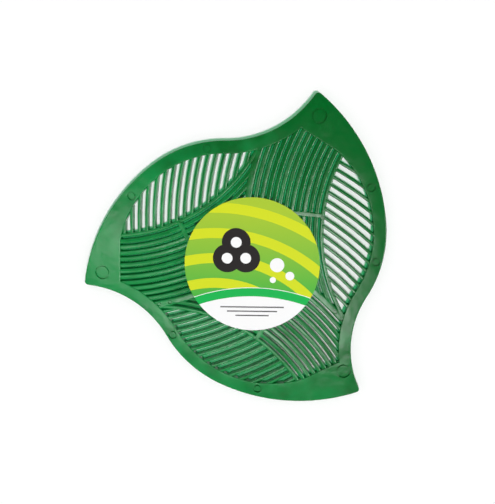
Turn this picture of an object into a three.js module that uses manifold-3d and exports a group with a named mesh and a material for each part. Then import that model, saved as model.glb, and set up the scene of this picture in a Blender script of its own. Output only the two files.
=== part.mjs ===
// Deodorizer screen for a urinal: a flat three-leaf pinwheel, moulded in one piece,
// with a broad rim round curved drainage ribs and a round paper label laid on the ribs.
// Millimetres, +Z up. The underside lies on z = 0 and the Z axis is the threefold axis.

import {
  BoxGeometry,
  BufferGeometry,
  Color,
  CylinderGeometry,
  ExtrudeGeometry,
  Float32BufferAttribute,
  Group,
  LatheGeometry,
  MathUtils,
  Mesh,
  MeshStandardMaterial,
  Path,
  Shape,
  Vector2,
} from 'three';
import { mergeVertices } from 'three/addons/utils/BufferGeometryUtils.js';
import Module from 'manifold-3d';

// Rim. The tip is set out from the centre of its shoulder arc. The tip plate's inner edge is
// straight, and it bites a little into the arc of the opening about the same centre.
const LEAVES = 3;
const THICKNESS = 5;
const SHOULDER_OFFSET = 16.2;
const SHOULDER_BEARING = 66.9;
const SHOULDER_RADIUS = 71.3;
const TIP_RISE = 15.9;
const TIP_BEARING = 69.3;
const TIP_ROUNDING = 2.2;
const BACK_RADIUS = 108.9;
const WAIST_RADIUS = 61.1;
const RIM_WIDTH = 7.5;
const TIP_PLATE_BITE = 0.7;
const TIP_PLATE_BEARING = 57.5;
const EDGE_CHAMFER = 0.7;

// Ribs. All of them are arcs about three centres, one to a leaf. Going out from its centre,
// a leaf has its spine, its inner ribs and its divider, and past the divider come the outer
// ribs of the next leaf. The gap between those and the divider differs from leaf to leaf.
const ARC_CENTRE_BEARING = 6.3;
const RIB_DROP = 0.4;
const RIB_CROWN = 0.6;
const SPINE_RADIUS = 100;
const SPINE_WIDTH = 2.4;
const INNER_RIB_COUNT = 11;
const INNER_RIB_WIDTH = 2.6;
const INNER_RIB_GAP = 1.03;
const DIVIDER_WIDTH = 4.2;
const DIVIDER_MISS = 0.9;
const OUTER_RIB_WIDTH = 1.8;
const OUTER_RIB_GAP = 2.69;
const OUTER_RIB_START = [4.4, 2, 2];
const CROSS_BAR_BEARING = 174;
const CROSS_BAR_WIDTH = 2.7;
const HUB_RADIUS = 7;

// Round sinks that the ejector pins leave in the rim's top, leaf by leaf, set out from the
// centre of the shoulder arc. Those near the tips lie back from the tip by the setback, and
// the smaller ones lie on the middle line of the rim.
const TIP_MARK_RADIUS = 4.3;
const TIP_MARK_BEARING = [64.8, 64.8, 69.2];
const TIP_MARK_SETBACK = [12.5, 12.5, 16.4];
const RIM_MARK_RADIUS = 2.6;
const RIM_MARK_BEARINGS = [[24, -13.4], [24, -22], [24, -30]];
const MARK_DEPTH = 0.25;

// How far ribs run on into the rim, and how far every piece starts below the underside
// before the one cut that makes it flat.
const ROOT = 1.5;
const SPARE = 1;

// Facets of the arcs
const RIB_FACET = 10;
const RIM_ARC_STEPS = 6;
const HUB_STEPS = 24;
const MARK_STEPS = 16;

// Label
const LABEL_DIAMETER = 80;
const LABEL_THICKNESS = 0.3;
const LABEL_X = -0.4;
const LABEL_Y = -3.2;
const LABEL_STEPS = 96;

const wasm = await Module();
wasm.setup();

const LEAF_TURN = 360 / LEAVES;
const AXIS = new Vector2(0, 0);
const RIB_TOP = THICKNESS - RIB_DROP;
const INNER_PITCH = INNER_RIB_WIDTH + INNER_RIB_GAP;
const INNER_FIRST = SPINE_RADIUS + SPINE_WIDTH / 2 + INNER_RIB_GAP + INNER_RIB_WIDTH / 2;
const DIVIDER_INSIDE = SPINE_RADIUS + SPINE_WIDTH / 2 + INNER_RIB_COUNT * INNER_PITCH + INNER_RIB_GAP;
const DIVIDER_RADIUS = DIVIDER_INSIDE + DIVIDER_WIDTH / 2;
const DIVIDER_OUTSIDE = DIVIDER_INSIDE + DIVIDER_WIDTH;
const OUTER_PITCH = OUTER_RIB_WIDTH + OUTER_RIB_GAP;
const ARC_CENTRE_DISTANCE = DIVIDER_INSIDE - DIVIDER_MISS;

function polar(distance, bearing) {
  return new Vector2(distance, 0).rotateAround(AXIS, MathUtils.degToRad(bearing));
}

function turned(point, leaf) {
  return point.clone().rotateAround(AXIS, MathUtils.degToRad(leaf * LEAF_TURN));
}

function bearingFrom(centre, point) {
  return Math.atan2(point.y - centre.y, point.x - centre.x);
}

// Where two circles cross, on the side nearer to a given point.
function crossing(centreA, radiusA, centreB, radiusB, near) {
  const across = centreB.clone().sub(centreA);
  const gap = across.length();
  const along = (gap * gap + radiusA * radiusA - radiusB * radiusB) / (2 * gap);
  const aside = Math.sqrt(radiusA * radiusA - along * along);
  const unit = across.divideScalar(gap);
  const foot = centreA.clone().addScaledVector(unit, along);
  const left = new Vector2(-unit.y, unit.x);
  const one = foot.clone().addScaledVector(left, aside);
  const other = foot.clone().addScaledVector(left, -aside);
  return one.distanceTo(near) < other.distanceTo(near) ? one : other;
}

const shoulder = polar(SHOULDER_OFFSET, SHOULDER_BEARING);
const tip = polar(SHOULDER_RADIUS + TIP_RISE, TIP_BEARING).add(shoulder);
const waist = crossing(
  turned(tip, -1), WAIST_RADIUS,
  shoulder, WAIST_RADIUS + SHOULDER_RADIUS,
  turned(tip, -1).multiplyScalar(2),
);
const back = crossing(tip, BACK_RADIUS, shoulder, BACK_RADIUS - SHOULDER_RADIUS, turned(tip, 1));

// One leaf of the outline, anticlockwise: shoulder arc, back arc, rounded tip, hollow waist.
function addLeafOutline(path, leaf) {
  const s = turned(shoulder, leaf);
  const b = turned(back, leaf);
  const w = turned(waist, leaf);
  const nextWaist = turned(waist, leaf + 1);
  const nextShoulder = turned(shoulder, leaf + 1);
  const round = crossing(
    b, BACK_RADIUS - TIP_ROUNDING,
    nextWaist, WAIST_RADIUS + TIP_ROUNDING,
    turned(tip, leaf),
  );
  path.absarc(s.x, s.y, SHOULDER_RADIUS, bearingFrom(s, w), bearingFrom(b, s), false);
  path.absarc(b.x, b.y, BACK_RADIUS, bearingFrom(b, s), bearingFrom(b, round), false);
  path.absarc(
    round.x, round.y, TIP_ROUNDING,
    bearingFrom(b, round), bearingFrom(round, nextWaist), false,
  );
  path.absarc(
    nextWaist.x, nextWaist.y, WAIST_RADIUS,
    bearingFrom(nextWaist, round), bearingFrom(nextWaist, nextShoulder), true,
  );
}

// Where a circle crosses the tip plate's straight edge, nearer to a given point.
function plateCrossing(centre, radius, rimWidth, near) {
  const normal = polar(1, TIP_PLATE_BEARING);
  const edge = shoulder.dot(normal) + SHOULDER_RADIUS - rimWidth - TIP_PLATE_BITE;
  const rise = edge - centre.dot(normal);
  const aside = Math.sqrt(radius * radius - rise * rise);
  const foot = centre.clone().addScaledVector(normal, rise);
  const left = new Vector2(-normal.y, normal.x);
  const one = foot.clone().addScaledVector(left, aside);
  const other = foot.clone().addScaledVector(left, -aside);
  return one.distanceTo(near) < other.distanceTo(near) ? one : other;
}

// The corner of the opening between the tip plate and the outer side.
function outerCorner(rimWidth) {
  return plateCrossing(shoulder, SHOULDER_RADIUS - rimWidth, rimWidth, turned(tip, -0.5));
}

// One leaf of the opening inside the rim: an arc that keeps the shoulder's centre, the
// straight edge of the tip plate, and an arc that keeps the waist's centre.
function addLeafOpening(path, leaf, rimWidth) {
  const s = turned(shoulder, leaf);
  const w = turned(waist, leaf);
  const nextWaist = turned(waist, leaf + 1);
  const nextShoulder = turned(shoulder, leaf + 1);
  const hollowRadius = WAIST_RADIUS + rimWidth;
  const outer = turned(outerCorner(rimWidth), leaf);
  const hollow = turned(plateCrossing(turned(waist, 1), hollowRadius, rimWidth, tip), leaf);
  path.absarc(
    s.x, s.y, SHOULDER_RADIUS - rimWidth,
    bearingFrom(s, w), bearingFrom(s, outer), false,
  );
  path.lineTo(hollow.x, hollow.y);
  path.absarc(
    nextWaist.x, nextWaist.y, hollowRadius,
    bearingFrom(nextWaist, hollow), bearingFrom(nextWaist, nextShoulder), true,
  );
}

function opening(PathType, rimWidth) {
  const path = new PathType();
  for (let leaf = 0; leaf < LEAVES; leaf += 1) {
    addLeafOpening(path, leaf, rimWidth);
  }
  return path;
}

function toSolid(geometry) {
  const bare = geometry.clone();
  bare.deleteAttribute('normal');
  bare.deleteAttribute('uv');
  const merged = mergeVertices(bare);
  return new wasm.Manifold(new wasm.Mesh({
    numProp: 3,
    vertProperties: new Float32Array(merged.attributes.position.array),
    triVerts: new Uint32Array(merged.index.array),
  }));
}

function toGeometry(solid) {
  const mesh = solid.getMesh();
  const geometry = new BufferGeometry();
  geometry.setAttribute('position', new Float32BufferAttribute(mesh.vertProperties, 3));
  geometry.setIndex(Array.from(mesh.triVerts));
  geometry.computeVertexNormals();
  return geometry;
}

function rim() {
  const outline = new Shape();
  for (let leaf = 0; leaf < LEAVES; leaf += 1) {
    addLeafOutline(outline, leaf);
  }
  outline.holes.push(opening(Path, RIM_WIDTH));
  const geometry = new ExtrudeGeometry(outline, {
    depth: THICKNESS + SPARE - EDGE_CHAMFER,
    curveSegments: RIM_ARC_STEPS,
    bevelEnabled: true,
    bevelThickness: EDGE_CHAMFER,
    bevelSize: EDGE_CHAMFER,
    bevelOffset: -EDGE_CHAMFER,
    bevelSegments: 1,
  });
  geometry.translate(0, 0, -SPARE);
  return toSolid(geometry);
}

// The space the ribs may fill: the opening, run on a little into the rim.
function ribSpace() {
  const shape = opening(Shape, RIM_WIDTH - ROOT);
  const geometry = new ExtrudeGeometry(shape, {
    depth: THICKNESS + SPARE,
    curveSegments: RIM_ARC_STEPS,
    bevelEnabled: false,
  });
  geometry.translate(0, 0, -SPARE);
  return toSolid(geometry);
}

function arcCentre(leaf) {
  return turned(polar(ARC_CENTRE_DISTANCE, ARC_CENTRE_BEARING), leaf);
}

function facets(radius) {
  return Math.round((2 * Math.PI * radius) / RIB_FACET);
}

// A ring about a leaf's arc centre, with the top corners taken off.
function ring(leaf, radius, width) {
  const half = width / 2;
  const crown = Math.min(RIB_CROWN, width / 3);
  const section = [
    new Vector2(radius - half, -SPARE),
    new Vector2(radius + half, -SPARE),
    new Vector2(radius + half, RIB_TOP - crown),
    new Vector2(radius + half - crown, RIB_TOP),
    new Vector2(radius - half + crown, RIB_TOP),
    new Vector2(radius - half, RIB_TOP - crown),
    new Vector2(radius - half, -SPARE),
  ];
  const geometry = new LatheGeometry(section, facets(radius));
  geometry.rotateX(Math.PI / 2);
  const centre = arcCentre(leaf);
  geometry.translate(centre.x, centre.y, 0);
  return toSolid(geometry);
}

function disc(leaf, radius) {
  const height = 2 * (THICKNESS + SPARE);
  const geometry = new CylinderGeometry(radius, radius, height, facets(radius));
  geometry.rotateX(Math.PI / 2);
  const centre = arcCentre(leaf);
  geometry.translate(centre.x, centre.y, 0);
  return toSolid(geometry);
}

// The bar across the inner ribs, from the spine to the divider.
function crossBar(leaf) {
  const length = DIVIDER_RADIUS - SPINE_RADIUS;
  const height = RIB_TOP + SPARE;
  const geometry = new BoxGeometry(length, CROSS_BAR_WIDTH, height);
  geometry.translate(SPINE_RADIUS + length / 2, 0, RIB_TOP - height / 2);
  geometry.rotateZ(MathUtils.degToRad(CROSS_BAR_BEARING));
  const centre = polar(ARC_CENTRE_DISTANCE, ARC_CENTRE_BEARING);
  geometry.translate(centre.x, centre.y, 0);
  geometry.rotateZ(MathUtils.degToRad(leaf * LEAF_TURN));
  return toSolid(geometry);
}

// How many outer ribs it takes to fill a leaf as far as the corner of its opening.
function outerRibCount(first) {
  const reach = outerCorner(RIM_WIDTH).distanceTo(arcCentre(-1));
  return Math.ceil((reach - first) / OUTER_PITCH);
}

// One leaf's ribs. The inner ones lie between this leaf's spine and divider; the outer ones
// carry on the arcs of the leaf before it, past that leaf's divider and up to this spine.
function leafRibs(leaf, space) {
  const own = space.subtract(disc(leaf - 1, DIVIDER_RADIUS));
  const withinSpine = disc(leaf, SPINE_RADIUS);
  const inner = own.intersect(disc(leaf, DIVIDER_RADIUS)).subtract(withinSpine);
  const outer = own.intersect(withinSpine);
  const bars = [
    ring(leaf, SPINE_RADIUS, SPINE_WIDTH).intersect(own),
    ring(leaf, DIVIDER_RADIUS, DIVIDER_WIDTH).intersect(own),
    crossBar(leaf),
  ];
  for (let i = 0; i < INNER_RIB_COUNT; i += 1) {
    bars.push(ring(leaf, INNER_FIRST + i * INNER_PITCH, INNER_RIB_WIDTH).intersect(inner));
  }
  const outerFirst = DIVIDER_OUTSIDE + OUTER_RIB_START[leaf] + OUTER_RIB_WIDTH / 2;
  for (let i = 0; i < outerRibCount(outerFirst); i += 1) {
    bars.push(ring(leaf - 1, outerFirst + i * OUTER_PITCH, OUTER_RIB_WIDTH).intersect(outer));
  }
  return bars;
}

function hub() {
  const height = RIB_TOP + SPARE;
  const geometry = new CylinderGeometry(HUB_RADIUS, HUB_RADIUS, height, HUB_STEPS);
  geometry.rotateX(Math.PI / 2);
  geometry.translate(0, 0, RIB_TOP - height / 2);
  return toSolid(geometry);
}

// A shallow round sink in the top face, set out from a leaf's shoulder centre.
function pinMark(leaf, bearing, reach, radius) {
  const geometry = new CylinderGeometry(radius, radius, 2 * MARK_DEPTH, MARK_STEPS);
  geometry.rotateX(Math.PI / 2);
  const place = turned(polar(reach, bearing).add(shoulder), leaf);
  geometry.translate(place.x, place.y, THICKNESS);
  return toSolid(geometry);
}

function leafMarks(leaf) {
  const tipReach = SHOULDER_RADIUS + TIP_RISE - TIP_MARK_SETBACK[leaf];
  const rimReach = SHOULDER_RADIUS - RIM_WIDTH / 2;
  const marks = [pinMark(leaf, TIP_MARK_BEARING[leaf], tipReach, TIP_MARK_RADIUS)];
  for (const bearing of RIM_MARK_BEARINGS[leaf]) {
    marks.push(pinMark(leaf, bearing, rimReach, RIM_MARK_RADIUS));
  }
  return marks;
}

// A block that stands on the underside's plane and is wider than the part all round.
function aboveUnderside() {
  const side = 4 * tip.length();
  const geometry = new BoxGeometry(side, side, 2 * THICKNESS);
  geometry.translate(0, 0, THICKNESS);
  return toSolid(geometry);
}

function screenBody() {
  const space = ribSpace();
  let body = rim().add(hub());
  for (let leaf = 0; leaf < LEAVES; leaf += 1) {
    for (const bar of leafRibs(leaf, space)) {
      body = body.add(bar);
    }
    for (const mark of leafMarks(leaf)) {
      body = body.subtract(mark);
    }
  }
  const material = new MeshStandardMaterial({
    color: new Color('#1c8347'),
    roughness: 0.28,
    metalness: 0,
  });
  const mesh = new Mesh(toGeometry(body.intersect(aboveUnderside())), material);
  mesh.name = 'screen_body';
  return mesh;
}

function roundLabel() {
  const radius = LABEL_DIAMETER / 2;
  const geometry = new CylinderGeometry(radius, radius, LABEL_THICKNESS, LABEL_STEPS);
  geometry.rotateX(Math.PI / 2);
  geometry.translate(LABEL_X, LABEL_Y, RIB_TOP + LABEL_THICKNESS / 2);
  const material = new MeshStandardMaterial({
    color: new Color('#8fc043'),
    roughness: 0.45,
    metalness: 0,
  });
  const mesh = new Mesh(geometry, material);
  mesh.name = 'round_label';
  return mesh;
}

const group = new Group();
group.name = 'urinal_deodorizer_screen';
group.add(screenBody());
group.add(roundLabel());

export default group;
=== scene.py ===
import math

import bmesh
import bpy
from mathutils import Matrix, Vector


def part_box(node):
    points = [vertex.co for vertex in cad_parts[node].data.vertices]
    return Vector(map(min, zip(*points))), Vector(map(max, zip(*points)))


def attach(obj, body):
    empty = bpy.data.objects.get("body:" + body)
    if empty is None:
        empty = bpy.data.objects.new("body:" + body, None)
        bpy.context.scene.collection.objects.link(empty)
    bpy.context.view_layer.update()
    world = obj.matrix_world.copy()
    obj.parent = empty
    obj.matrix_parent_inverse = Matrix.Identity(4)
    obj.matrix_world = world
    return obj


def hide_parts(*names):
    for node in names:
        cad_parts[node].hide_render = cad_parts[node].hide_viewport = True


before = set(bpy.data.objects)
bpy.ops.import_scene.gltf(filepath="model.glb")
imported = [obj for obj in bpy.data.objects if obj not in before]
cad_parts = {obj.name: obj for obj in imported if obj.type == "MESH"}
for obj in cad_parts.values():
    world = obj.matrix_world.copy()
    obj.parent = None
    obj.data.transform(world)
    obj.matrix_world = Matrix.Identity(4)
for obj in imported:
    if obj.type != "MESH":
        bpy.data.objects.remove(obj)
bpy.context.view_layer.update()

# The rim is the outer band of the one moulding: soft clear green plastic, run in a flat
# tool. Each of its three leaves is a round shoulder, a long back and a tip, and the next
# leaf springs from the hollow waist. Its sizes here are millimetres until it is finished.
MM = 0.001
LEAVES = 3
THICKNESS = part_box("screen_body")[1].z / MM
SHOULDER_OFFSET = 16.2
SHOULDER_BEARING = 66.9
SHOULDER_RADIUS = 71.3
TIP_RISE = 15.9
TIP_BEARING = 69.3
TIP_ROUNDING = 2.2
BACK_RADIUS = 108.9
WAIST_RADIUS = 61.1
RIM_WIDTH = 7.5
TIP_PLATE_BITE = 0.7
TIP_PLATE_BEARING = 57.5
RIM_ROUNDING = 0.6
ROUNDING_STEPS = 4
RIM_FACET = 1.2
WELD = 0.01
UP = Vector((0, 0, 1))


def polar(distance, bearing):
    return Matrix.Rotation(math.radians(bearing), 3, "Z") @ Vector((distance, 0, 0))


def turned(point, leaf):
    return Matrix.Rotation(leaf * math.tau / LEAVES, 3, "Z") @ point


def nearer(foot, along, aside, near):
    """Of the two points aside from foot, the one nearer to near."""
    return min((foot + along * aside, foot - along * aside), key=lambda p: (p - near).length)


def crossing(centre_a, radius_a, centre_b, radius_b, near):
    """Where two circles cross, on the side of near."""
    across = centre_b - centre_a
    along = (across.length_squared + radius_a ** 2 - radius_b ** 2) / (2 * across.length)
    unit = across.normalized()
    aside = math.sqrt(radius_a ** 2 - along ** 2)
    return nearer(centre_a + unit * along, UP.cross(unit), aside, near)


def plate_crossing(centre, radius, rim_width, near):
    """Where a circle crosses the straight inner edge of the tip plate."""
    normal = polar(1, TIP_PLATE_BEARING)
    edge = shoulder.dot(normal) + SHOULDER_RADIUS - rim_width - TIP_PLATE_BITE
    rise = edge - centre.dot(normal)
    aside = math.sqrt(radius ** 2 - rise ** 2)
    return nearer(centre + normal * rise, UP.cross(normal), aside, near)


shoulder = polar(SHOULDER_OFFSET, SHOULDER_BEARING)
tip = shoulder + polar(SHOULDER_RADIUS + TIP_RISE, TIP_BEARING)
waist = crossing(turned(tip, -1), WAIST_RADIUS,
                 shoulder, WAIST_RADIUS + SHOULDER_RADIUS, turned(tip, -1) * 2)
back = crossing(tip, BACK_RADIUS, shoulder, BACK_RADIUS - SHOULDER_RADIUS, turned(tip, 1))


def towards(start, aim, distance):
    return start + (aim - start).normalized() * distance


def arc(bm, vert, centre, end, direction=1):
    """Carries an outline on from vert, round centre, as far as end."""
    first, last = vert.co - centre, end - centre
    sweep = (math.atan2(last.y, last.x) - math.atan2(first.y, first.x)) * direction % math.tau
    steps = math.ceil(sweep * first.length / RIM_FACET)
    spun = bmesh.ops.spin(bm, geom=[vert], cent=centre, axis=UP, angle=sweep * direction,
                          steps=steps)
    return spun["geom_last"][0]


def line(bm, vert, end):
    added = bmesh.ops.extrude_vert_indiv(bm, verts=[vert])["verts"][0]
    added.co = end
    return added


def outline(bm):
    vert = bm.verts.new(towards(shoulder, waist, SHOULDER_RADIUS))
    for leaf in range(LEAVES):
        s, b = turned(shoulder, leaf), turned(back, leaf)
        next_s, next_w = turned(shoulder, leaf + 1), turned(waist, leaf + 1)
        rounding = crossing(b, BACK_RADIUS - TIP_ROUNDING,
                            next_w, WAIST_RADIUS + TIP_ROUNDING, turned(tip, leaf))
        vert = arc(bm, vert, s, towards(b, s, BACK_RADIUS))
        vert = arc(bm, vert, b, towards(b, rounding, BACK_RADIUS))
        vert = arc(bm, vert, rounding, towards(rounding, next_w, TIP_ROUNDING))
        vert = arc(bm, vert, next_w, towards(next_w, next_s, WAIST_RADIUS), -1)


def outer_corner(rim_width):
    """Where the opening's round shoulder meets the tip plate."""
    return plate_crossing(shoulder, SHOULDER_RADIUS - rim_width, rim_width, turned(tip, -0.5))


def opening(bm, rim_width):
    hollow_radius = WAIST_RADIUS + rim_width
    hollow_corner = plate_crossing(turned(waist, 1), hollow_radius, rim_width, tip)
    vert = bm.verts.new(towards(shoulder, waist, SHOULDER_RADIUS - rim_width))
    for leaf in range(LEAVES):
        next_s, next_w = turned(shoulder, leaf + 1), turned(waist, leaf + 1)
        vert = arc(bm, vert, turned(shoulder, leaf), turned(outer_corner(rim_width), leaf))
        vert = line(bm, vert, turned(hollow_corner, leaf))
        vert = arc(bm, vert, next_w, towards(next_w, next_s, hollow_radius), -1)


def slab(bm, bottom, height):
    """Fills the outlines in bm and draws them up. Returns the faces of the top."""
    bmesh.ops.remove_doubles(bm, verts=bm.verts, dist=WELD)
    bmesh.ops.triangle_fill(bm, use_beauty=True, edges=bm.edges, normal=UP)
    bmesh.ops.translate(bm, vec=UP * bottom, verts=bm.verts)
    drawn = bmesh.ops.extrude_face_region(bm, geom=bm.faces[:])["geom"]
    corners = [part for part in drawn if isinstance(part, bmesh.types.BMVert)]
    bmesh.ops.translate(bm, vec=UP * height, verts=corners)
    bmesh.ops.recalc_face_normals(bm, faces=bm.faces)
    return [part for part in drawn if isinstance(part, bmesh.types.BMFace)]


def round_over(bm, top, radius):
    """Takes the corner off round the top faces, in steps of a quarter circle."""
    step = math.pi / 2 / ROUNDING_STEPS
    for i in range(ROUNDING_STEPS):
        in_by = radius * (math.cos(i * step) - math.cos((i + 1) * step))
        up_by = radius * (math.sin((i + 1) * step) - math.sin(i * step))
        bmesh.ops.inset_region(bm, faces=top, thickness=in_by, depth=up_by, use_even_offset=True)


def solid(bm, name):
    mesh = bpy.data.meshes.new(name)
    bm.to_mesh(mesh)
    bm.free()
    made = bpy.data.objects.new(name, mesh)
    bpy.context.scene.collection.objects.link(made)
    return made


bm = bmesh.new()
outline(bm)
opening(bm, RIM_WIDTH)
round_over(bm, slab(bm, 0, THICKNESS - RIM_ROUNDING), RIM_ROUNDING)
rim = solid(bm, "rim")

# The ribs are of the same moulding, cut into the tool round three centres, one to a leaf. Going
# out, a leaf has its spine, inner ribs and divider, and past it come the next leaf's outer
# ribs. They stand a little below the rim, and taper upwards, the third leaf's the least.
ARC_CENTRE_BEARING = 6.3
RIB_TOP = THICKNESS - 0.4
SPINE_RADIUS = 100
SPINE_WIDTH = 2.4
SPINE_CROWN = 0.8
INNER_RIB_COUNT = 11
INNER_RIB_WIDTH = 2.6
INNER_RIB_GAP = 1.03
INNER_CROWN = 0.7
INNER_DRAFT = (0.35, 0.35, 0.12)
INNER_LEAN = 0.25
DIVIDER_WIDTH = 4.2
DIVIDER_MISS = 0.9
DIVIDER_CROWN = 0.9
BROAD_DRAFT = 0.1
OUTER_RIB_WIDTH = 1.8
OUTER_RIB_GAP = 2.69
OUTER_RIB_START = (4.4, 2, 2)
OUTER_CROWN = 0.5
OUTER_DRAFT = 0.15
OUTER_LEAN = 0.15
LEAN_TURN = 2.1
ROOT = 1.5
SPARE = 1
CROWN_STEPS = 4
RIB_FACET = 2.2
FIELD_REACH = 92

INNER_PITCH = INNER_RIB_WIDTH + INNER_RIB_GAP
INNER_FIRST = SPINE_RADIUS + SPINE_WIDTH / 2 + INNER_RIB_GAP + INNER_RIB_WIDTH / 2
DIVIDER_INSIDE = SPINE_RADIUS + SPINE_WIDTH / 2 + INNER_RIB_COUNT * INNER_PITCH + INNER_RIB_GAP
DIVIDER_RADIUS = DIVIDER_INSIDE + DIVIDER_WIDTH / 2
OUTER_PITCH = OUTER_RIB_WIDTH + OUTER_RIB_GAP
ARC_CENTRE = polar(DIVIDER_INSIDE - DIVIDER_MISS, ARC_CENTRE_BEARING)


def field():
    """The space that ribs may fill: the opening, run on a little into the rim."""
    bm = bmesh.new()
    opening(bm, RIM_WIDTH - ROOT)
    slab(bm, 0, THICKNESS + SPARE)
    return solid(bm, "field")


def disc(leaf, radius):
    bm = bmesh.new()
    vert = bm.verts.new((radius, 0, 0))
    bmesh.ops.spin(bm, geom=[vert], cent=(0, 0, 0), axis=UP, angle=math.tau,
                   steps=round(math.tau * radius / RIB_FACET), use_merge=True)
    bmesh.ops.translate(bm, vec=turned(ARC_CENTRE, leaf), verts=bm.verts)
    slab(bm, -SPARE, THICKNESS + 3 * SPARE)
    return solid(bm, "disc")


def bars(leaf, radii, width, crown, draft, lean=0):
    """Bars swept about a leaf's arc centre, right across the part. They narrow by draft a
    side from the underside up, and their top corners are rounded to crown. Each top slopes
    its own way, as it sank when it cooled, by up to lean."""
    bm = bmesh.new()
    for radius in radii:
        base = width / 2 + draft
        slope = lean * math.sin(LEAN_TURN * radius + leaf)
        sides = [(-base, -SPARE), (base, -SPARE),
                 (width / 2, RIB_TOP - max(slope, 0)), (-width / 2, RIB_TOP + min(slope, 0))]
        corners = [bm.verts.new((radius + x, 0, z)) for x, z in sides]
        bm.faces.new(corners)
        bmesh.ops.bevel(bm, geom=corners[2:], offset=crown, offset_type="OFFSET",
                        segments=CROWN_STEPS, profile=0.5, affect="VERTICES", material=-1)
    distance = ARC_CENTRE.length
    reach = (radii[0] ** 2 + distance ** 2 - FIELD_REACH ** 2) / (2 * radii[0] * distance)
    sweep = math.acos(reach)
    bmesh.ops.rotate(bm, cent=(0, 0, 0), verts=bm.verts,
                     matrix=Matrix.Rotation(math.radians(180 + ARC_CENTRE_BEARING) - sweep, 3, "Z"))
    bmesh.ops.spin(bm, geom=[*bm.verts, *bm.edges, *bm.faces], cent=(0, 0, 0), axis=UP,
                   angle=2 * sweep, steps=math.ceil(2 * sweep * radii[-1] / RIB_FACET))
    bmesh.ops.rotate(bm, cent=(0, 0, 0), verts=bm.verts,
                     matrix=Matrix.Rotation(leaf * math.tau / LEAVES, 3, "Z"))
    bmesh.ops.translate(bm, vec=turned(ARC_CENTRE, leaf), verts=bm.verts)
    bmesh.ops.recalc_face_normals(bm, faces=bm.faces)
    return solid(bm, "bars")


def combined(base, others, operation):
    """Base joined to the others, less them, or where it meets them. The others are used up."""
    for other in others:
        step = base.modifiers.new(operation, "BOOLEAN")
        step.operation = operation
        step.solver = "MANIFOLD"
        step.object = other
    depsgraph = bpy.context.evaluated_depsgraph_get()
    mesh = bpy.data.meshes.new_from_object(base.evaluated_get(depsgraph))
    base.modifiers.clear()
    base.data = mesh
    for other in others:
        bpy.data.objects.remove(other)
    return base


def copied(made):
    again = bpy.data.objects.new(made.name, made.data.copy())
    bpy.context.scene.collection.objects.link(again)
    return again


def leaf_ribs(leaf):
    own = combined(field(), [disc(leaf - 1, DIVIDER_RADIUS)], "DIFFERENCE")
    inner = combined(copied(own), [disc(leaf, DIVIDER_RADIUS)], "INTERSECT")
    inner = combined(inner, [disc(leaf, SPINE_RADIUS)], "DIFFERENCE")
    outer = combined(copied(own), [disc(leaf, SPINE_RADIUS)], "INTERSECT")
    inner_radii = [INNER_FIRST + i * INNER_PITCH for i in range(INNER_RIB_COUNT)]
    first = DIVIDER_INSIDE + DIVIDER_WIDTH + OUTER_RIB_START[leaf] + OUTER_RIB_WIDTH / 2
    reach = (outer_corner(RIM_WIDTH) - turned(ARC_CENTRE, -1)).length
    outer_count = math.ceil((reach - first) / OUTER_PITCH)
    outer_radii = [first + i * OUTER_PITCH for i in range(outer_count)]
    spine = bars(leaf, [SPINE_RADIUS], SPINE_WIDTH, SPINE_CROWN, BROAD_DRAFT)
    divider = bars(leaf, [DIVIDER_RADIUS], DIVIDER_WIDTH, DIVIDER_CROWN, BROAD_DRAFT)
    inner_ribs = bars(leaf, inner_radii, INNER_RIB_WIDTH, INNER_CROWN, INNER_DRAFT[leaf], INNER_LEAN)
    outer_ribs = bars(leaf - 1, outer_radii, OUTER_RIB_WIDTH, OUTER_CROWN, OUTER_DRAFT, OUTER_LEAN)
    return [
        combined(spine, [copied(own)], "INTERSECT"),
        combined(divider, [own], "INTERSECT"),
        combined(inner_ribs, [inner], "INTERSECT"),
        combined(outer_ribs, [outer], "INTERSECT"),
    ]


screen = rim
for leaf in range(LEAVES):
    screen = combined(screen, leaf_ribs(leaf), "UNION")

# A flat bar ties each leaf's inner ribs together, and the three dividers meet at a round
# hub under the label. Both are moulded with the ribs, in the same plastic, and as high.
CROSS_BAR_BEARING = 174
CROSS_BAR_WIDTH = 2.7
CROSS_BAR_ROUNDING = 0.4
CROSS_BAR_STEPS = 3
HUB_RADIUS = 7
HUB_STEPS = 64


def cross_bar(leaf):
    length = DIVIDER_RADIUS - SPINE_RADIUS
    bm = bmesh.new()
    bmesh.ops.create_cube(bm, size=1)
    bmesh.ops.scale(bm, vec=(length, CROSS_BAR_WIDTH, RIB_TOP), verts=bm.verts)
    bmesh.ops.translate(bm, vec=(SPINE_RADIUS + length / 2, 0, RIB_TOP / 2), verts=bm.verts)
    long_top = [edge for edge in bm.edges if all(vert.co.z > RIB_TOP / 2 for vert in edge.verts)
                and abs(edge.verts[0].co.x - edge.verts[1].co.x) > CROSS_BAR_WIDTH]
    bmesh.ops.bevel(bm, geom=long_top, offset=CROSS_BAR_ROUNDING, offset_type="OFFSET",
                    segments=CROSS_BAR_STEPS, profile=0.5, affect="EDGES", material=-1)
    bmesh.ops.rotate(bm, cent=(0, 0, 0), verts=bm.verts,
                     matrix=Matrix.Rotation(math.radians(CROSS_BAR_BEARING), 3, "Z"))
    bmesh.ops.translate(bm, vec=ARC_CENTRE, verts=bm.verts)
    bmesh.ops.rotate(bm, cent=(0, 0, 0), verts=bm.verts,
                     matrix=Matrix.Rotation(leaf * math.tau / LEAVES, 3, "Z"))
    return solid(bm, "cross_bar")


def cylinder(radius, bottom, top, steps, place=Vector((0, 0, 0))):
    bm = bmesh.new()
    bmesh.ops.create_cone(bm, cap_ends=True, segments=steps, radius1=radius, radius2=radius,
                          depth=top - bottom)
    bmesh.ops.translate(bm, vec=place + UP * (top + bottom) / 2, verts=bm.verts)
    return solid(bm, "cylinder")


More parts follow.
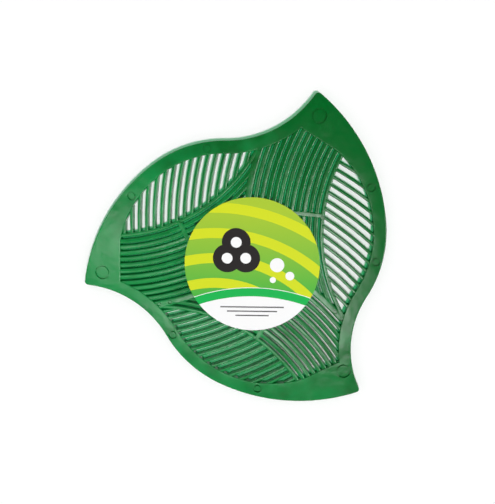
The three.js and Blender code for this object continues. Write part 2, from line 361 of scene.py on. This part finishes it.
ties = [cross_bar(leaf) for leaf in range(LEAVES)]
ties.append(cylinder(HUB_RADIUS, 0, RIB_TOP, HUB_STEPS))
screen = combined(screen, ties, "UNION")

# The ejector pins that push the moulding out of its tool leave round marks: shallow sinks
# with a grooved edge in the rim, and small ones on the dividers and spines.
TIP_MARK_RADIUS = 4.3
TIP_MARK_BEARING = (64.8, 64.8, 69.2)
TIP_MARK_SETBACK = (12.5, 12.5, 16.4)
RIM_MARK_RADIUS = 2.6
RIM_MARK_BEARINGS = ((24, -13.4), (24, -22), (24, -30))
MARK_DEPTH = 1.2
MARK_SETTLE = 0.2
MARK_GROOVE = 0.85
MARK_STEPS = 48
PIP_RADIUS = 1.2
PIP_GROOVE = 0.35
DIVIDER_PIPS = ((160.2, 163.1, 165.8), (160.8, 163.5), (160.6, 162.8))
SPINE_PIP = 174.6
CORNER_ANGLE = 32


def mark(place, radius, groove, top):
    land = cylinder(radius - groove, 0, top - MARK_SETTLE, MARK_STEPS, place)
    sink = cylinder(radius, top - MARK_DEPTH, THICKNESS + SPARE, MARK_STEPS, place)
    return combined(sink, [land], "DIFFERENCE")


marks = []
for leaf in range(LEAVES):
    tip_reach = SHOULDER_RADIUS + TIP_RISE - TIP_MARK_SETBACK[leaf]
    place = turned(shoulder + polar(tip_reach, TIP_MARK_BEARING[leaf]), leaf)
    marks.append(mark(place, TIP_MARK_RADIUS, MARK_GROOVE, THICKNESS))
    for bearing in RIM_MARK_BEARINGS[leaf]:
        place = turned(shoulder + polar(SHOULDER_RADIUS - RIM_WIDTH / 2, bearing), leaf)
        marks.append(mark(place, RIM_MARK_RADIUS, MARK_GROOVE, THICKNESS))
    pips = [polar(DIVIDER_RADIUS, bearing) for bearing in DIVIDER_PIPS[leaf]]
    pips.append(polar(SPINE_RADIUS, SPINE_PIP))
    for pip in pips:
        marks.append(mark(turned(ARC_CENTRE + pip, leaf), PIP_RADIUS, PIP_GROOVE, RIB_TOP))
screen = combined(screen, marks, "DIFFERENCE")


def finished(piece, name):
    """Turns a piece to metres, smooths its curved faces and keeps its corners crisp."""
    piece.name = name
    piece.data.name = name
    piece.data.transform(Matrix.Scale(MM, 4))
    piece.data.shade_smooth()
    piece.data.set_sharp_from_angle(angle=math.radians(CORNER_ANGLE))
    weighted = piece.modifiers.new("flat faces stay flat", "WEIGHTED_NORMAL")
    weighted.keep_sharp = True
    weighted.weight = 100
    return piece


screen = finished(screen, "moulded_screen")
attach(screen, "root")
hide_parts("screen_body")

# Soft plastic, dyed deep green and a little see-through, with the polish of the tool on it. It sank
# slightly as it cooled, so its gloss is wavy, and the dye has faint streaks.
# Over the streaks its colour is painted lighter towards the lower left and darker towards the upper
# right: painted light and shade.
LIGHT_DEPTH = 0.8
# The dark end of the colour ramp is deep dye and painted shade. The pale end is pale dye and painted
# light.
DEEP_DYE_AND_PAINTED_SHADE = (0.0, 0.130, 0.018, 1)
PALE_DYE_AND_PAINTED_LIGHT = (0.006, 0.265, 0.060, 1)
PAINTED_LIGHT_DRIFT = (-4.0, -2.2, 0)
STREAK_SCALE = 75
STREAK_DETAIL = 6
POLISH_SCALE = 140
WAVE_SCALE = 90
WAVE_HEIGHT = 0.45
SHADOW_TINT = (0.06, 0.55, 0.30, 1)
LIGHT_LET_THROUGH = 0.85

plastic = bpy.data.materials.new("green_plastic")
plastic.use_nodes = True
nodes = plastic.node_tree.nodes
links = plastic.node_tree.links
shader = nodes["Principled BSDF"]
shader.inputs["IOR"].default_value = 1.52
shader.inputs["Subsurface Weight"].default_value = 0.25
shader.inputs["Subsurface Radius"].default_value = (0.25, 1.0, 0.45)
shader.inputs["Subsurface Scale"].default_value = LIGHT_DEPTH * MM
moulding = nodes.new("ShaderNodeTexCoord")


def noise(scale, detail):
    made = nodes.new("ShaderNodeTexNoise")
    made.inputs["Scale"].default_value = scale
    made.inputs["Detail"].default_value = detail
    links.new(moulding.outputs["Object"], made.inputs["Vector"])
    return made.outputs["Fac"]


# A slope across the part paints the colour lighter towards the lower left and darker towards the
# upper right. This is painted light and shade, laid over the dye's random streaks.
painted_light_slope = nodes.new("ShaderNodeVectorMath")
painted_light_slope.operation = "DOT_PRODUCT"
painted_light_slope.inputs[1].default_value = PAINTED_LIGHT_DRIFT
links.new(moulding.outputs["Object"], painted_light_slope.inputs[0])
streaks_and_painted_light = nodes.new("ShaderNodeMath")
streaks_and_painted_light.operation = "ADD"
links.new(painted_light_slope.outputs["Value"], streaks_and_painted_light.inputs[0])
links.new(noise(STREAK_SCALE, STREAK_DETAIL), streaks_and_painted_light.inputs[1])
dye_and_painted_light = nodes.new("ShaderNodeValToRGB")
dye_and_painted_light.color_ramp.elements[0].position = 0.3
dye_and_painted_light.color_ramp.elements[0].color = DEEP_DYE_AND_PAINTED_SHADE
dye_and_painted_light.color_ramp.elements[1].position = 0.85
dye_and_painted_light.color_ramp.elements[1].color = PALE_DYE_AND_PAINTED_LIGHT
links.new(streaks_and_painted_light.outputs[0], dye_and_painted_light.inputs["Fac"])
links.new(dye_and_painted_light.outputs["Color"], shader.inputs["Base Color"])
polish = nodes.new("ShaderNodeMapRange")
polish.inputs["To Min"].default_value = 0.12
polish.inputs["To Max"].default_value = 0.24
links.new(noise(POLISH_SCALE, 2), polish.inputs["Value"])
links.new(polish.outputs["Result"], shader.inputs["Roughness"])
waves = nodes.new("ShaderNodeBump")
waves.inputs["Strength"].default_value = 0.5
waves.inputs["Distance"].default_value = WAVE_HEIGHT * MM
links.new(noise(WAVE_SCALE, 2), waves.inputs["Height"])
links.new(waves.outputs["Normal"], shader.inputs["Normal"])
shade = nodes.new("ShaderNodeLightPath")
passed = nodes.new("ShaderNodeBsdfTransparent")
passed.inputs["Color"].default_value = SHADOW_TINT
see_through = nodes.new("ShaderNodeMixShader")
bounced = nodes.new("ShaderNodeMath")
bounced.operation = "MULTIPLY_ADD"
bounced.inputs[1].default_value = LIGHT_LET_THROUGH
links.new(shade.outputs["Is Diffuse Ray"], bounced.inputs[0])
links.new(shade.outputs["Is Shadow Ray"], bounced.inputs[2])
links.new(bounced.outputs[0], see_through.inputs[0])
links.new(shader.outputs[0], see_through.inputs[1])
links.new(passed.outputs[0], see_through.inputs[2])
links.new(see_through.outputs[0], nodes["Material Output"].inputs["Surface"])
screen.data.materials.clear()
screen.data.materials.append(plastic)

# The label is a die-cut disc of satin printed paper that lies on the ribs inside the rim. Its
# print has ripples over a lime to green ground, a trefoil, dots, and a white foot under a
# green band. Sizes in the print are millimetres from the label's middle.
label_low, label_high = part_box("round_label")
LABEL_CENTRE = (label_low + label_high) / 2
LABEL_RADIUS = (label_high.x - label_low.x) / 2
LABEL_STEPS = 192
LABEL_ROUNDING = 0.08
LIME = (0.402, 0.578, 0.032, 1)
LEAF_GREEN = (0.071, 0.456, 0.053, 1)
YELLOW = (0.650, 0.730, 0.015, 1)
CHARCOAL = (0.017, 0.014, 0.014, 1)
EMERALD = (0.007, 0.456, 0.080, 1)
WHITE = (0.93, 0.93, 0.93, 1)
GREY = (0.12, 0.12, 0.12, 1)
FADE_START = -18
FADE_LENGTH = 50
RIPPLE_CENTRE = (-22, -74)
RIPPLE_PITCH = 15
RIPPLE_SHARE = 0.4
PETALS = ((-14.5, 4), (-3.5, 4), (-9, 13.5))
PETAL_RADIUS = 8.5
PETAL_EYE = 3.2
DOTS = ((15, 0, 4.2), (22.5, -6.5, 2.6), (12.5, -9, 1.8))
FOOT_CENTRE = (0, -117)
FOOT_RADIUS = 98
BAND_EDGE = FOOT_RADIUS + 5
BAND_LINE = 0.4
RULES = ((-26, 19), (-28.6, 15), (-31.2, 10))
RULE_WIDTH = 0.8

bm = bmesh.new()
bmesh.ops.create_cone(bm, cap_ends=True, segments=LABEL_STEPS, radius1=LABEL_RADIUS,
                      radius2=LABEL_RADIUS, depth=label_high.z - label_low.z)
bmesh.ops.translate(bm, vec=LABEL_CENTRE, verts=bm.verts)
cut_edges = [edge for edge in bm.edges if edge.verts[0].co.z == edge.verts[1].co.z]
bmesh.ops.bevel(bm, geom=cut_edges, offset=LABEL_ROUNDING * MM, offset_type="OFFSET", segments=2,
                profile=0.5, affect="EDGES", material=-1)
label = solid(bm, "label")
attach(label, "root")
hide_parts("round_label")
paper = bpy.data.materials.new("printed_paper")
paper.use_nodes = True
paper_nodes = paper.node_tree.nodes
paper_links = paper.node_tree.links


def calc(operation, *values):
    """A sum in the print. Each value is a number or another sum."""
    made = paper_nodes.new("ShaderNodeMath")
    made.operation = operation
    for socket, value in zip(made.inputs, values):
        if isinstance(value, (int, float)):
            socket.default_value = value
        else:
            paper_links.new(value, socket)
    return made.outputs[0]


def distance_to(px, py):
    aside, along = calc("SUBTRACT", across, px), calc("SUBTRACT", upward, py)
    return calc("SQRT", calc("ADD", calc("MULTIPLY", aside, aside), calc("MULTIPLY", along, along)))


def within(value, low, high):
    return calc("MULTIPLY", calc("GREATER_THAN", value, low), calc("LESS_THAN", value, high))


def printed(under, ink, where):
    """Ink laid over what is under it, where the mask is one."""
    made = paper_nodes.new("ShaderNodeMix")
    made.data_type = "RGBA"
    for socket, value in ((made.inputs[0], where), (made.inputs[6], under), (made.inputs[7], ink)):
        if isinstance(value, tuple):
            socket.default_value = value
        else:
            paper_links.new(value, socket)
    return made.outputs[2]


sheet = paper_nodes.new("ShaderNodeTexCoord")
spot = paper_nodes.new("ShaderNodeSeparateXYZ")
paper_links.new(sheet.outputs["Object"], spot.inputs[0])
across = calc("DIVIDE", calc("SUBTRACT", spot.outputs["X"], LABEL_CENTRE.x), MM)
upward = calc("DIVIDE", calc("SUBTRACT", spot.outputs["Y"], LABEL_CENTRE.y), MM)

fade = calc("DIVIDE", calc("SUBTRACT", upward, FADE_START), FADE_LENGTH)
fade = calc("SMOOTH_MAX", fade, 0.0, 0.1)
print_colour = printed(LEAF_GREEN, LIME, calc("MINIMUM", fade, 1.0))
ripples = calc("FRACT", calc("DIVIDE", distance_to(*RIPPLE_CENTRE), RIPPLE_PITCH))
print_colour = printed(print_colour, YELLOW, calc("LESS_THAN", ripples, RIPPLE_SHARE))
petals = 0.0
for x, y in PETALS:
    petals = calc("MAXIMUM", petals, calc("LESS_THAN", distance_to(x, y), PETAL_RADIUS))
print_colour = printed(print_colour, CHARCOAL, petals)
for x, y, radius in (*((x, y, PETAL_EYE) for x, y in PETALS), *DOTS):
    print_colour = printed(print_colour, WHITE, calc("LESS_THAN", distance_to(x, y), radius))
foot = distance_to(*FOOT_CENTRE)
print_colour = printed(print_colour, WHITE, calc("LESS_THAN", foot, FOOT_RADIUS))
print_colour = printed(print_colour, EMERALD, within(foot, FOOT_RADIUS, BAND_EDGE))
print_colour = printed(print_colour, WHITE, within(foot, BAND_EDGE, BAND_EDGE + BAND_LINE))
for y, reach in RULES:
    rule = calc("MULTIPLY", within(upward, y, y + RULE_WIDTH), within(across, -reach, reach))
    print_colour = printed(print_colour, GREY, rule)
satin = paper_nodes["Principled BSDF"]
satin.inputs["Roughness"].default_value = 0.5
satin.inputs["Specular IOR Level"].default_value = 0.2
paper_links.new(print_colour, satin.inputs["Base Color"])
label.data.materials.append(paper)

# The stage is a plain white floor in a pale studio, whose dark ceiling keeps the gloss deep.
# One soft key light shines down the third leaf's slits, softboxes show only in the gloss,
# and the camera stands where the photograph was taken from.
FLOOR_SIZE = 4
FLOOR_DROP = 0.05
FLOOR_WHITE = (0.98, 0.98, 0.98, 1)
CEILING_EDGE = 0.82
CEILING_MIDDLE = 0.96
WALL_LIGHT = 0.37
CEILING_LIGHT = 0.02
SOFTBOX_DISTANCE = 1.2
KEY_TILT = 21
KEY_BEARING = -48
KEY_SPREAD = 9
KEY_BRIGHTNESS = 0.80
CAMERA_PLACE = Vector((24.899, 70.486, 372.553)) * MM
CAMERA_AIM = Vector((-2.802, 4.605, 5.0)) * MM
CAMERA_ROLL = math.radians(-0.444)
CAMERA_LENS = 45.477
CAMERA_SENSOR = 36

bm = bmesh.new()
bmesh.ops.create_grid(bm, x_segments=1, y_segments=1, size=FLOOR_SIZE / 2)
bmesh.ops.translate(bm, vec=(0, 0, -FLOOR_DROP * MM), verts=bm.verts)
floor = solid(bm, "floor")
white = bpy.data.materials.new("white_floor")
white.use_nodes = True
matt = white.node_tree.nodes["Principled BSDF"]
matt.inputs["Base Color"].default_value = FLOOR_WHITE
matt.inputs["Roughness"].default_value = 1
matt.inputs["Specular IOR Level"].default_value = 0
floor.data.materials.append(white)

world = bpy.data.worlds.new("studio")
bpy.context.scene.world = world
world.use_nodes = True
sky = world.node_tree.nodes["Background"]
sky_nodes = world.node_tree.nodes
sky_links = world.node_tree.links
direction = sky_nodes.new("ShaderNodeTexCoord")
height = sky_nodes.new("ShaderNodeSeparateXYZ")
ceiling = sky_nodes.new("ShaderNodeMapRange")
ceiling.interpolation_type = "SMOOTHSTEP"
ceiling.inputs["From Min"].default_value = CEILING_EDGE
ceiling.inputs["From Max"].default_value = CEILING_MIDDLE
ceiling.inputs["To Min"].default_value = WALL_LIGHT
ceiling.inputs["To Max"].default_value = CEILING_LIGHT
sky_links.new(direction.outputs["Generated"], height.inputs[0])
sky_links.new(height.outputs["Z"], ceiling.inputs["Value"])
in_view = sky_nodes.new("ShaderNodeLightPath")
backdrop = sky_nodes.new("ShaderNodeMath")
backdrop.operation = "MAXIMUM"
sky_links.new(in_view.outputs["Is Camera Ray"], backdrop.inputs[0])
sky_links.new(ceiling.outputs["Result"], backdrop.inputs[1])
sky_links.new(backdrop.outputs[0], sky.inputs["Color"])


def overhead(tilt, bearing):
    """The direction that leans by tilt from straight up, towards a bearing from +X."""
    leaned = Matrix.Rotation(math.radians(tilt), 3, "Y") @ UP
    return Matrix.Rotation(math.radians(bearing), 3, "Z") @ leaned


def softbox(name, tilt, bearing, width, depth, brightness):
    """A soft light that shows only in the gloss."""
    light = bpy.data.lights.new(name, "AREA")
    light.shape = "RECTANGLE"
    light.size = width
    light.size_y = depth
    light.energy = brightness * math.pi * width * depth
    lamp = bpy.data.objects.new(name, light)
    bpy.context.scene.collection.objects.link(lamp)
    lamp.location = overhead(tilt, bearing) * SOFTBOX_DISTANCE
    lamp.rotation_euler = lamp.location.to_track_quat("Z", "Y").to_euler()
    lamp.visible_diffuse = False


softbox("gloss_light", tilt=17.6, bearing=-101, width=0.48, depth=0.08, brightness=8)
softbox("edge_light", tilt=33, bearing=-16, width=0.25, depth=0.25, brightness=22)
softbox("panel_light", tilt=10.3, bearing=-77.6, width=0.13, depth=0.28, brightness=10)
softbox("left_light", tilt=21, bearing=-157, width=0.14, depth=0.14, brightness=4)

key = bpy.data.lights.new("key_light", "SUN")
key.angle = math.radians(KEY_SPREAD)
key.energy = KEY_BRIGHTNESS * math.pi
key_lamp = bpy.data.objects.new("key_light", key)
bpy.context.scene.collection.objects.link(key_lamp)
key_lamp.rotation_euler = overhead(KEY_TILT, KEY_BEARING).to_track_quat("Z", "Y").to_euler()
key_lamp.visible_glossy = False

view = (CAMERA_AIM - CAMERA_PLACE).normalized()
right = view.cross(Vector((0, 1, 0))).normalized()
above = right.cross(view)
camera_data = bpy.data.cameras.new("camera")
camera_data.lens = CAMERA_LENS
camera_data.sensor_width = CAMERA_SENSOR
camera = bpy.data.objects.new("camera", camera_data)
bpy.context.scene.collection.objects.link(camera)
level = Matrix((right, above, -view)).transposed()
rolled = level @ Matrix.Rotation(CAMERA_ROLL, 3, "Z")
camera.matrix_world = Matrix.Translation(CAMERA_PLACE) @ rolled.to_4x4()
bpy.context.scene.camera = camera
bpy.context.scene.view_settings.view_transform = "Standard"
